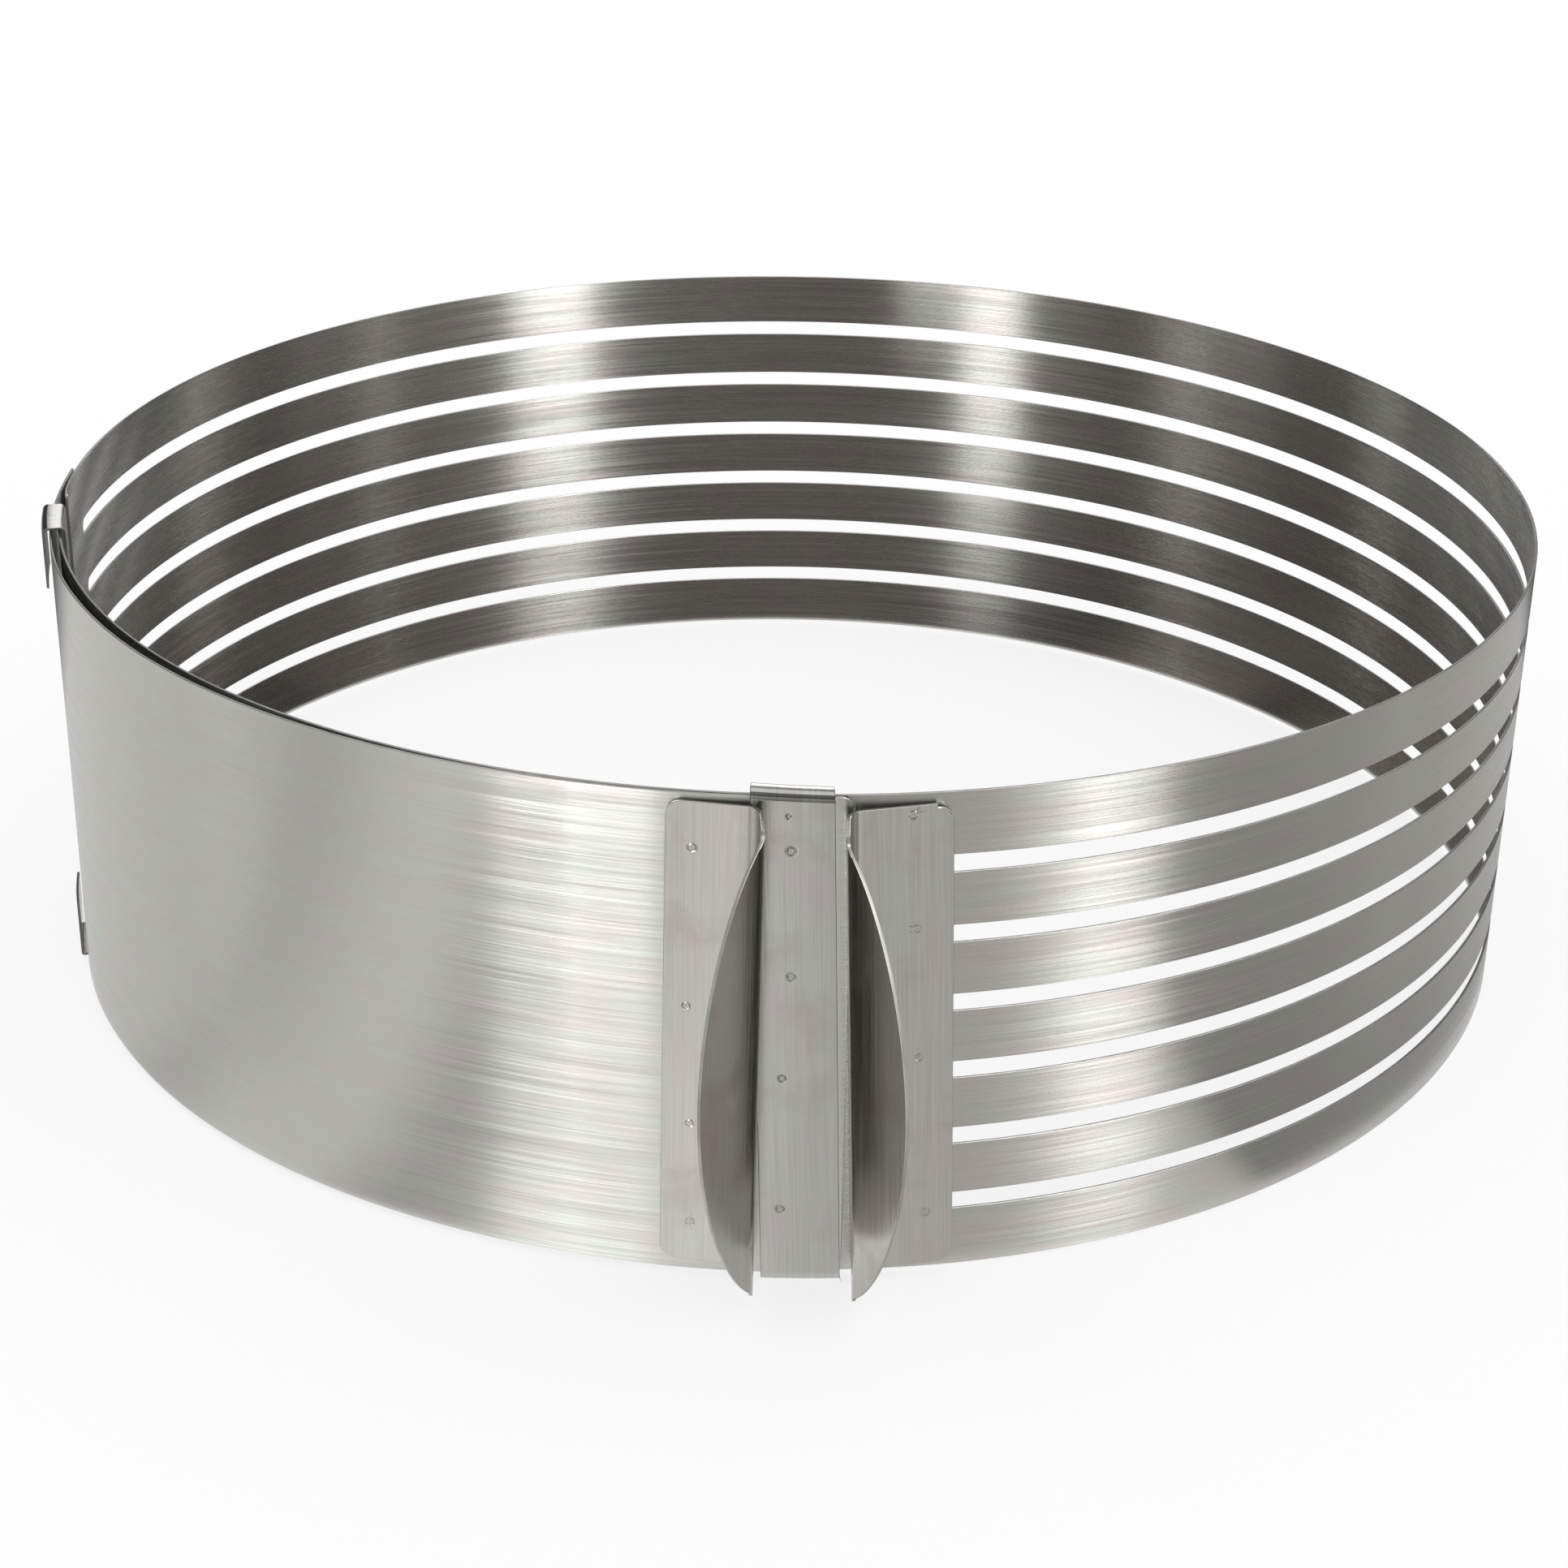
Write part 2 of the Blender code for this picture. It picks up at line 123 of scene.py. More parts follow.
class CakeRingSizes(bpy.types.PropertyGroup):
    """Sizes of the strips, guides and handles."""

    radius: length("Ring radius", "Outer face of the plain strip at the clasp", 0.120)
    height: length("Strip height", "Height of both strips", 0.074)
    sheet: length("Strip sheet", "Thickness of both strips", 0.0004)
    gap: length("Sheet gap", "Clearance between sheets that lie on each other", 0.0003)
    corner: length("Strip corner", "Rounding of the strips' free corners", 0.0015)
    eased: length("Eased edge", "Small chamfer along every cut edge", 0.00007)
    plain_end: length("Plain strip end", "Arc of the plain strip's free end", 0.0079)
    plain_back: angle("Plain strip back", "Turn where the plain strip meets the slotted one", -90)
    tongue: angle("Tongue end", "Turn of the slotted strip's hidden end", -82)
    tab_lap: angle("Tab lap", "How far the slotted strip reaches under the plain one's back end", 5)
    flare: length("Flare", "How far the plain strip stands off on the left", 0.0011)
    flare_start: angle("Flare start", "Turn where the plain strip starts to stand off", -15)
    flare_full: angle("Flare full", "Turn where it stands off fully", -55)
    flare_ease: angle("Flare ease", "The last stretch, where it comes back in", 25)
    slots: IntProperty(name="Knife slots", description="Number of level knife slots", default=6, min=1)
    slot_height: length("Slot height", "Height of a knife slot", 0.0026)
    slot_cover: length("Slot cover", "How far the slots start behind the right handle's edge", 0.0020)
    guide_sheet: length("Guide sheet", "Thickness of the guides", 0.0004)
    guide_width: length("Guide width", "Width of both guides", 0.0110)
    guide_inset: length("Guide inset", "Plain strip's end to the front guide's edge", 0.0013)
    guide_skew: angle("Guide skew", "The front guide leans to the left as it rises", 1.7)
    guide_crown: length("Guide crown", "Room above the strips, beside the sheet gap", 0.0003)
    guide_roll: length("Guide roll", "Outer radius of the top bends", 0.0009)
    guide_fold: length("Guide fold", "Outer radius of the bottom bends", 0.0005)
    guide_lip: length("Guide lip", "Reach of the front guide behind the strips", 0.0040)
    brow: length("Upper roll", "How far the front guide's upper roll stands out from its own strip", 0.0001)
    brow_slope: length("Upper roll slope", "Height of the slope on the upper roll's front", 0.0004)
    bead: length("Lower roll", "How far the front guide's lower roll stands out from its own strip", 0.0005)
    bead_height: length("Lower roll height", "Height of the front guide's lower roll", 0.0005)
    bead_drop: length("Lower roll drop", "Lower roll's underside below the strips' top edge", 0.0004)
    hook_rise: length("Hook rise", "How much higher the front guide's hook is at its left end", 0.0004)
    hook_reach: length("Hook reach", "Height over which the hook's rise comes in", 0.0030)
    crease: length("Crease", "Radius of the sharp creases beside the rolls", 0.00004)
    soft_crease: length("Soft crease", "Radius of the bends above the rolls' slopes", 0.0001)
    end_inset: length("End guide inset", "Slotted strip's hidden end to the end guide's edge", 0.0029)
    flange: length("Flange", "Height of the end guide's outer flanges", 0.0100)
    handle_sheet: length("Handle sheet", "Thickness of the handles", 0.0005)
    left_width: length("Left plate width", "Left plate's outer edge to the web's outer face", 0.0128)
    right_width: length("Right plate width", "Right plate's outer edge to the web's outer face", 0.0142)
    plate_bend: length("Plate bend", "Outer radius of the bend between plate and web", 0.0026)
    handle_height: length("Handle height", "Height of both handles", 0.0711)
    plate_corner: length("Plate corner", "Rounding of the plates' corners", 0.0022)
    left_web_lap: length("Left web lap", "Left web's foot over the front guide's edge", 0.0002)
    right_web_gap: length("Right web gap", "Plain strip's free end to the right web's foot", 0.00035)
    left_rise: length("Left rise", "Strips' bottom edge to the left plate", 0.0021)
    right_rise: length("Right rise", "Strips' bottom edge to the right plate", 0.0012)
    left_tilt: angle("Left tilt", "Lean of the left handle to the right", 0.75)
    right_tilt: angle("Right tilt", "Lean of the right handle to the right", -1.95)
    web_depth: length("Web depth", "Plate to the leaf's fold", 0.0083)
    web_lean: angle("Web lean", "Lean of the webs from square, over the plate", -12)
    web_corner: length("Web corner", "Rounding of the webs' corners", 0.0008)
    leaf_width: length("Leaf width", "Leaf's fold to its free edge", 0.0123)
    left_leaf_lean: angle("Left leaf lean", "Lean of the left leaf from square", 29.5)
    right_leaf_lean: angle("Right leaf lean", "Lean of the right leaf from square", 25.5)
    leaf_bend: length("Leaf bend", "Radius of the bend between web and leaf", 0.0034)
    leaf_fullness: share("Leaf fullness", "Shape of the leaf's curved edge", 0.76)
    weld: length("Weld mark", "Radius of a spot weld's ring", 0.00058)
    weld_depth: length("Weld depth", "Depth of a spot weld's ring", 0.00009)


class CakeRingFinish(bpy.types.PropertyGroup):
    """Colours and roughness of the steel."""

    plain: colour("Plain strip", "Steel of the plain strip", (0.60, 0.60, 0.58))
    slotted: colour("Slotted strip", "Steel of the slotted strip", (0.55, 0.54, 0.52))
    handle: colour("Handles", "Steel of the handles", (0.545, 0.535, 0.515))
    guide: colour("Guides", "Steel of the guides", (0.51, 0.51, 0.495))
    edge: colour("Cut edges", "Bare cut edges of the sheets", (0.42, 0.41, 0.395))
    # Painted shade: the guides' cut edges are dark as if in shadow
    guide_edge_shade: colour("Guides' edges", "Guides' cut edges, darkened as painted shade", (0.16, 0.155, 0.15))
    weld: colour("Weld marks", "Scale in the spot welds' rings", (0.16, 0.15, 0.145))
    stain: colour("Stains", "Reddish marks left by handling", (0.42, 0.34, 0.32))
    plain_roughness: share("Plain strip roughness", "Roughness of the plain strip", 0.235)
    slotted_roughness: share("Slotted strip roughness", "Roughness of the slotted strip", 0.265)
    fold_roughness: share("Fold roughness", "Roughness of the handles and guides", 0.17)
    strip_anisotropy: share("Strip anisotropy", "How far the brushing draws out a highlight", 1.0)
    fold_anisotropy: share("Fold anisotropy", "The same on handles and guides", 0.50)
    # Painted shade in the groove between the front guide's rolls
    groove_painted_shade: share("Groove painted shade", "How dark the groove between the front guide's rolls is", 0.75)
    # Painted shade: a tone below 1 darkens a web and its leaf as if shaded in the fold
    left_painted_shade: share("Left web tone", "Tone of the left web and leaf beside its plate", 0.75)
    right_painted_shade: share("Right web tone", "Tone of the right web and leaf beside its plate", 1.0)


class CakeRingStudio(bpy.types.PropertyGroup):
    """Lamps, flags, floor and camera."""

    floor: colour("Floor", "Colour of the floor", (0.98, 0.98, 0.98))
    glow: share("Floor glow", "How far the floor shows plain white behind its shadows", 0.75)
    sky: share("Sky", "Strength of the plain white surroundings", 1.0)
    flag: colour("Flags", "Tint of the flags round the ring", (1.0, 0.99, 0.97))
    # Painted shade: tint of the dark disc the metal mirrors in place of the floor inside the ring
    inner_shade_flag: colour("Inner flag", "Tint of the flag inside the ring", (1.0, 0.90, 0.85))
    lens: FloatProperty(name="Lens", description="Focal length of the camera", default=70.62, unit="CAMERA")
    distance: length("Distance", "Camera to the ring's middle", 0.52357)
    elevation: angle("Elevation", "Camera's height as an angle", 23.7199)
    yaw: angle("Yaw", "Turn of the camera off the ring's middle", 0.166)
    pitch: angle("Pitch", "Nod of the camera off the ring's middle", -1.8273)
    roll: angle("Roll", "Roll of the camera", -1.0)
    aim: length("Aim", "Height of the point aimed at, above the strips' bottom edge", 0.037)


def sizes():
    return bpy.context.scene.cake_ring_sizes


def finish():
    return bpy.context.scene.cake_ring_finish


def studio():
    return bpy.context.scene.cake_ring_studio


class Plan:
    """Places that follow from the sizes."""

    def __init__(self):
        s = sizes()
        self.inner = s.radius - s.sheet - s.gap
        self.inner_face = self.inner - s.sheet
        self.lip = self.inner_face - s.gap - s.guide_sheet
        self.base = s.guide_sheet + s.gap
        self.top = self.base + s.height
        self.guide_top = self.top + s.gap + s.guide_crown + s.guide_sheet
        self.guide_arc = s.plain_end - s.guide_inset - s.guide_width / 2
        self.left_web = self.guide_arc - s.guide_width / 2 + s.left_web_lap
        self.right_web = s.plain_end + s.right_web_gap


def turn_of(arc):
    return arc / sizes().radius


def on_ring(radius, turn, height):
    return AXIS + Vector((radius * math.sin(turn), -radius * math.cos(turn), height))


def smooth(part):
    part = min(max(part, 0.0), 1.0)
    return part * part * (3 - 2 * part)


def rounding(distance, radius):
    """How far a rounded corner draws an edge in, this far along from the corner."""
    if distance >= radius:
        return 0.0
    return radius - math.sqrt(max(radius**2 - (radius - distance) ** 2, 0.0))


def corner_stops(radius, steps=8):
    """Places along a rounded corner, from its tip, that follow its arc evenly."""
    return [radius * (1 - math.cos(SQUARE * k / steps)) for k in range(steps + 1)]


def between(start, end, step):
    """Evenly spread values from start to end, no further apart than step."""
    count = max(math.ceil((end - start) / step), 1)
    return [start + (end - start) * k / count for k in range(count + 1)]


def merged(values, least):
    """Sorted values, without those that come nearer than this to the one before."""
    kept = []
    for value in sorted(values):
        if not kept or value - kept[-1] >= least:
            kept.append(value)
    return kept


def filleted(corners, radii, steps=10):
    """The open outline through these plane corners, with each inner corner an arc."""
    points = [Vector(corners[0])]
    for before, corner, after, radius in zip(corners, corners[1:], corners[2:], radii):
        corner = Vector(corner)
        into = (corner - Vector(before)).normalized()
        out = (Vector(after) - corner).normalized()
        bend = into.angle_signed(out)
        reach = radius * math.tan(abs(bend) / 2)
        side = 1 if bend > 0 else -1
        centre = corner - into * reach + Vector((into.y, -into.x)) * radius * side
        spoke = corner - into * reach - centre
        for k in range(steps + 1):
            part = bend * k / steps
            points.append(centre + Matrix.Rotation(-part, 2) @ spoke)
    points.append(Vector(corners[-1]))
    return points


def lengths_along(points):
    lengths = [0.0]
    for before, after in zip(points, points[1:]):
        lengths.append(lengths[-1] + (after - before).length)
    return lengths


def along(points, lengths, distance):
    """The point this far along an outline."""
    last = len(points) - 1
    k = next((k for k in range(1, last) if distance <= lengths[k]), last)
    way = points[k] - points[k - 1]
    part = (distance - lengths[k - 1]) / max(lengths[k] - lengths[k - 1], 1e-12)
    return points[k - 1] + way * part


def weld_ring(place, welds):
    """0 to 1: how far a spot weld's ring, or the dot in its middle, marks the sheet at this place."""
    level = 0.0
    for across, height, part in welds:
        radius = sizes().weld * part
        off = math.hypot(place[0] - across, place[1] - height)
        if off < MARK_REACH * radius:
            ring = math.exp(-(((off - radius) / (radius * RING_SOFTNESS)) ** 2))
            dot = DOT_LEVEL * math.exp(-((off / (radius * RING_SOFTNESS)) ** 2))
            level = max(level, ring, dot)
    return level


def weld_stops(centres):
    """Fine stops across each of these weld marks."""
    reach = WELD_STOPS_REACH * sizes().weld
    steps = range(-WELD_STOPS, WELD_STOPS + 1)
    return [centre + reach * k / WELD_STOPS for centre in centres for k in steps]


def sheet_piece(name, columns, thickness, steel, edge=None, flip=False, open_rows=(), shades=()):
    """A sheet whose outer face runs through columns of cells.

    A cell is a point, its place on the brushing map and its value, 0 to 1, for each of the
    shades. The rows named in open_rows have no face above them, which leaves slots.
    """
    bm = bmesh.new()
    brush = bm.loops.layers.uv.new(BRUSH_MAP)
    for shade in shades:
        bm.verts.layers.float.new(shade)
    grid = [[bm.verts.new(cell[0]) for cell in column] for column in columns]
    for k, shade in enumerate(shades):
        layer = bm.verts.layers.float[shade]
        for column, cells in zip(grid, columns):
            for vertex, cell in zip(column, cells):
                vertex[layer] = cell[2 + k]
    for c in range(len(grid) - 1):
        for r in range(len(grid[c]) - 1):
            if r in open_rows:
                continue
            ring = [(c, r), (c + 1, r), (c + 1, r + 1), (c, r + 1)]
            ring = ring[::-1] if flip else ring
            face = bm.faces.new([grid[i][j] for i, j in ring])
            for loop, (i, j) in zip(face.loops, ring):
                loop[brush].uv = columns[i][j][1]
    bmesh.ops.remove_doubles(bm, verts=bm.verts, dist=MERGED_POINTS)
    mesh = bpy.data.meshes.new(name)
    bm.to_mesh(mesh)
    bm.free()
    mesh.materials.append(steel)
    mesh.materials.append(edge or edge_steel("cut_edge_steel", finish().edge))
    piece = new_object(name, mesh)
    solid = piece.modifiers.new("Sheet", "SOLIDIFY")
    solid.thickness = thickness
    solid.offset = -1
    solid.use_even_offset = True
    solid.material_offset_rim = 1
    ease = piece.modifiers.new("Eased edges", "BEVEL")
    ease.width = sizes().eased
    ease.segments = 1
    ease.limit_method = "ANGLE"
    ease.angle_limit = EASED_FROM
    ease.use_clamp_overlap = False
    apply_modifiers(piece)
    piece.data.shade_smooth()
    piece.data.set_sharp_from_angle(angle=SMOOTH_UP_TO)
    return piece


def new_object(name, data):
    made = bpy.data.objects.new(name, data)
    bpy.context.scene.collection.objects.link(made)
    return made


def apply_modifiers(piece):
    bpy.context.view_layer.update()
    graph = bpy.context.evaluated_depsgraph_get()
    mesh = bpy.data.meshes.new_from_object(piece.evaluated_get(graph))
    piece.modifiers.clear()
    old, piece.data = piece.data, mesh
    bpy.data.meshes.remove(old)
    mesh.name = piece.name


def settle(piece, node, body):
    """The piece stands for a node of the frame, whose part it hides, and moves with its body."""
    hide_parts(node)
    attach(piece, body)


# Materials


def feed(node, feeds):
    """Gives each of these inputs of a node its value or its link."""
    for socket, value in feeds.items():
        if isinstance(value, bpy.types.NodeSocket):
            node.id_data.links.new(value, node.inputs[socket])
        else:
            node.inputs[socket].default_value = value


def add_node(tree, kind, place, feeds=None, **settings):
    node = tree.nodes.new(kind)
    node.location = place
    for name, value in settings.items():
        setattr(node, name, value)
    feed(node, feeds or {})
    return node


def new_group(name, numbers, outputs, kind="NodeSocketFloat"):
    """An empty node group that takes a vector and numbers: (group, input node, output node)."""
    group = bpy.data.node_groups.new(name, "ShaderNodeTree")
    group.interface.new_socket(name="Vector", in_out="INPUT", socket_type="NodeSocketVector")
    for socket, value in numbers.items():
        made = group.interface.new_socket(name=socket, in_out="INPUT", socket_type="NodeSocketFloat")
        made.default_value = value
    for socket in outputs:
        group.interface.new_socket(name=socket, in_out="OUTPUT", socket_type=kind)
    start = add_node(group, "NodeGroupInput", (-900, 0))
    end = add_node(group, "NodeGroupOutput", (900, 0))
    return group, start, end


def group_node(tree, group, place, feeds):
    return add_node(tree, "ShaderNodeGroup", place, feeds, node_tree=group)


def maths(tree, operation, place, first, second=0.5, third=0.5):
    node = add_node(tree, "ShaderNodeMath", place, {0: first, 1: second, 2: third}, operation=operation)
    return node.outputs[0]


def ranged(tree, place, value, first, last, low=0.0, high=1.0, **settings):
    """A value between first and last, spread from low to high."""
    feeds = {"Value": value, "From Min": first, "From Max": last, "To Min": low, "To Max": high}
    return add_node(tree, "ShaderNodeMapRange", place, feeds, **settings).outputs[0]


def mix(tree, place, factor, first, second, blend="MIX"):
    """Two colours mixed, each a socket or its red, green and blue."""
    feeds = {0: factor}
    for socket, value in ((6, first), (7, second)):
        feeds[socket] = value if isinstance(value, bpy.types.NodeSocket) else (*value, 1.0)
    return add_node(tree, "ShaderNodeMix", place, feeds, data_type="RGBA", blend_type=blend).outputs[2]


def toned(tone, level):
    return [min(part * level, 1.0) for part in tone]


def drawn_out_noise(tree, y, vector, length, width, roughness):
    """Flat noise, whose clouds are this long and this wide."""
    step = add_node(tree, "ShaderNodeCombineXYZ", (-500, y), {0: length, 1: width, 2: 1.0})
    feeds = {0: vector, 1: step.outputs[0]}
    place = add_node(tree, "ShaderNodeVectorMath", (-300, y), feeds, operation="DIVIDE")
    feeds = {"Vector": place.outputs[0], "Scale": 1.0, "Detail": 2.0, "Roughness": roughness}
    return add_node(tree, "ShaderNodeTexNoise", (-100, y), feeds, noise_dimensions="2D").outputs["Fac"]


# Layers of brushed lines: how much longer and wider than the finest, and their weight
LINE_LAYERS = ((1.0, 1.0, 0.5), (2.6, 3.1, 0.3), (5.0, 11.0, 0.2))


def brushed_lines_group():
    """Fine lines left by brushing, longer one way than the other."""
    made = bpy.data.node_groups.get("brushed_lines")
    if made:
        return made
    numbers = {"Line Length": 0.02, "Line Width": 0.0003}
    group, start, end = new_group("brushed_lines", numbers, ("Lines", "Height"))
    height = 0.0
    for k, (longer, wider, weight) in enumerate(LINE_LAYERS):
        y = 300 - 300 * k
        span = maths(group, "MULTIPLY", (-700, y), start.outputs["Line Length"], longer)
        width = maths(group, "MULTIPLY", (-700, y - 150), start.outputs["Line Width"], wider)
        lines = drawn_out_noise(group, y, start.outputs["Vector"], span, width, 0.6)
        height = maths(group, "MULTIPLY_ADD", (150 + 200 * k, 200 - 100 * k), lines, weight, height)
    feed(end, {"Lines": ranged(group, (720, 0), height, 0.36, 0.64), "Height": height})
    return group


def handling_group():
    """Cloudy marks left by hands and washing: broad smudges and smaller stains."""
    made = bpy.data.node_groups.get("handling_marks")
    if made:
        return made
    numbers = {"Smudge Size": 0.03, "Stain Size": 0.008, "Stain Amount": 0.5}
    group, start, end = new_group("handling_marks", numbers, ("Smudges", "Stains"))
    clouds = []
    for y, size in ((200, "Smudge Size"), (-100, "Stain Size")):
        scale = maths(group, "DIVIDE", (-600, y), 1.0, start.outputs[size])
        feeds = {"Vector": start.outputs["Vector"], "Scale": scale, "Detail": 4.0, "Roughness": 0.55}
        cloud = add_node(group, "ShaderNodeTexNoise", (-350, y), feeds, noise_dimensions="3D")
        clouds.append(cloud.outputs["Fac"])
    smudges = ranged(group, (-50, 200), clouds[0], 0.35, 0.65)
    stains = ranged(group, (-50, -100), clouds[1], 0.50, 0.72, interpolation_type="SMOOTHSTEP")
    amount = maths(group, "MULTIPLY", (250, -100), stains, start.outputs["Stain Amount"])
    feed(end, {"Smudges": smudges, "Stains": amount})
    return group


def tint_group():
    """Soft patches where the steel turns faintly red or green."""
    made = bpy.data.node_groups.get("patchy_tint")
    if made:
        return made
    numbers = {"Patch Length": 0.01, "Patch Width": 0.003}
    group, start, end = new_group("patchy_tint", numbers, ("Tint",), "NodeSocketColor")
    patch = start.outputs["Patch Length"], start.outputs["Patch Width"]
    cloud = drawn_out_noise(group, 0, start.outputs["Vector"], *patch, 0.5)
    part = ranged(group, (100, 0), cloud, 0.33, 0.67)
    greenish, reddish = (0.965, 1.0, 0.965), (1.0, 0.95, 0.96)
    feed(end, {"Tint": mix(group, (300, 0), part, greenish, reddish)})
    return group


def new_material(name):
    """A new material, its node tree and its shader."""
    material = bpy.data.materials.new(name)
    material.use_nodes = True
    return material, material.node_tree, material.node_tree.nodes["Principled BSDF"]


def handling_marks(tree, smudge_size, stain_size, amount):
    """The masks of the smudges and stains on an object."""
    place = add_node(tree, "ShaderNodeTexCoord", (-1500, -200)).outputs["Object"]
    feeds = {"Vector": place, "Smudge Size": smudge_size, "Stain Size": stain_size, "Stain Amount": amount}
    marks = group_node(tree, handling_group(), (-1200, -200), feeds)
    return marks.outputs["Smudges"], marks.outputs["Stains"]


CONTRAST = 0.08  # how far the brushed lines vary the tone
ROUGHNESS_SPREAD = 0.04  # how far they vary the roughness
SMUDGE_TONE = 0.97  # a smudge's tone beside clean steel
SMUDGE_PART = 0.35  # how far a full smudge covers the steel
STAIN_DULLING = 0.15  # roughness that a full stain adds
WELD_PART = 0.6  # how far the scale covers a weld's ring
ACROSS = 0.25  # anisotropic rotation that draws highlights out across the lines


def brushed_steel(name, tone, roughness, anisotropy, lines, patch, stain_amount):
    """Brushed stainless steel, whose lines run along the first way of the brushing map.

    Lines and patch are the length and width of the finest lines and of the faint tint's patches.
    """
    made = bpy.data.materials.get(name)
    if made:
        return made
    material, tree, shader = new_material(name)
    feed(shader, {"Metallic": 1.0, "Anisotropic": anisotropy, "Anisotropic Rotation": ACROSS})
    brush = add_node(tree, "ShaderNodeUVMap", (-1500, 100), uv_map=BRUSH_MAP)
    feeds = {"Vector": brush.outputs[0], "Line Length": lines[0], "Line Width": lines[1]}
    brushing = group_node(tree, brushed_lines_group(), (-1200, 200), feeds)
    smudges, stains = handling_marks(tree, 0.025, 0.009, stain_amount)
    dark, light = toned(tone, 1 - CONTRAST), toned(tone, 1 + CONTRAST)
    brushed = mix(tree, (-900, 300), brushing.outputs["Lines"], dark, light)
    part = maths(tree, "MULTIPLY", (-900, 0), smudges, SMUDGE_PART)
    smudged = mix(tree, (-700, 200), part, brushed, toned(tone, SMUDGE_TONE))
    stained = mix(tree, (-500, 100), stains, smudged, finish().stain)
    feeds = {"Vector": brush.outputs[0], "Patch Length": patch[0], "Patch Width": patch[1]}
    patches = group_node(tree, tint_group(), (-1200, -500), feeds)
    tinted = mix(tree, (-350, 250), 1.0, stained, patches.outputs["Tint"], "MULTIPLY")
    # Painted shade: this attribute darkens webs, leaves and the guide's groove towards black
    inside = add_node(tree, "ShaderNodeAttribute", (-900, -700), attribute_name=PAINTED_SHADE)
    darker = mix(tree, (-200, 250), inside.outputs["Fac"], tinted, (0.0, 0.0, 0.0))
    welds = add_node(tree, "ShaderNodeAttribute", (-900, -900), attribute_name=WELD_SHADE)
    part = maths(tree, "MULTIPLY", (-500, -700), welds.outputs["Fac"], WELD_PART)
    marked = mix(tree, (-50, 250), part, darker, finish().weld)
    low, high = roughness - ROUGHNESS_SPREAD, roughness + ROUGHNESS_SPREAD
    gloss = ranged(tree, (-700, -100), brushing.outputs["Lines"], 0.0, 1.0, low, high)
    worn = maths(tree, "MULTIPLY_ADD", (-450, -150), stains, STAIN_DULLING, gloss)
    feeds = {"Strength": 0.35, "Distance": 0.00004, "Height": brushing.outputs["Height"]}
    bump = add_node(tree, "ShaderNodeBump", (-300, -400), feeds)
    tangent = add_node(tree, "ShaderNodeTangent", (-300, -600), direction_type="UV_MAP", uv_map=BRUSH_MAP)
    feed(shader, {"Base Color": marked, "Roughness": worn})
    feed(shader, {"Normal": bump.outputs[0], "Tangent": tangent.outputs[0]})
    return material


def edge_steel(name, tone):
    """The sheets' cut edges: bare and without lines."""
    made = bpy.data.materials.get(name)
    if made:
        return made
    material, tree, shader = new_material(name)
    smudges, stains = handling_marks(tree, 0.006, 0.002, 0.5)
    worn = mix(tree, (-450, 100), smudges, toned(tone, 0.85), toned(tone, 1.1))
    low, high = 0.42, 0.55
    gloss = ranged(tree, (-450, -150), stains, 0.0, 1.0, low, high)
    feed(shader, {"Metallic": 1.0, "Base Color": worn, "Roughness": gloss})
    return material


def strip_steel(name, tone, roughness):
    grain = {"lines": (0.030, 0.00022), "patch": (0.011, 0.004), "stain_amount": 0.0}
    return brushed_steel(name, tone, roughness, finish().strip_anisotropy, **grain)


def folded_steel(name, tone):
    f = finish()
    grain = {"lines": (0.018, 0.00026), "patch": (0.013, 0.006), "stain_amount": 0.35}
    return brushed_steel(name, tone, f.fold_roughness, f.fold_anisotropy, **grain)


# Strips


def outer_radius(turn):
    """The plain strip's outer face, which stands off the slotted strip on the left."""
    s = sizes()
    rise = smooth((turn - s.flare_start) / (s.flare_full - s.flare_start))
    fall = smooth((turn - s.plain_back) / s.flare_ease)
    return s.radius + s.flare * rise * fall


def slot_half(turn, start, end, radius):
    """Half the height of a knife slot at this turn: its ends are round."""
    s = sizes()
    inside = min(turn - start, end - turn) * radius
    if inside <= 0:
        return 0.0
    return s.slot_height / 2 - rounding(inside, s.slot_height / 2)


class CAKERING_OT_plain_strip(bpy.types.Operator):
    """Makes the plain outer strip, from its end at the clasp to its back end on the left"""

    bl_idname = "cake_ring.plain_strip"
    bl_label = "Plain Strip"

    def execute(self, context):
        s, plan = sizes(), Plan()
        end = turn_of(s.plain_end)
        tips = [end - turn_of(stop) for stop in corner_stops(s.corner)]
        turns = between(s.plain_back, tips[-1], FACET) + tips[-2::-1]
        columns = []
        for turn in turns:
            inset = rounding((end - turn) * s.radius, s.corner)
            heights = between(plan.base + inset, plan.top - inset, STRIP_STEP)
            arc, radius = turn * s.radius, outer_radius(turn)
            columns.append([(on_ring(radius, turn, height), (arc, height)) for height in heights])
        steel = strip_steel("plain_strip_steel", finish().plain, finish().plain_roughness)
        piece = sheet_piece("plain_strip", columns, s.sheet, steel)
        settle(piece, "outer_band", "outer_side")
        return {"FINISHED"}


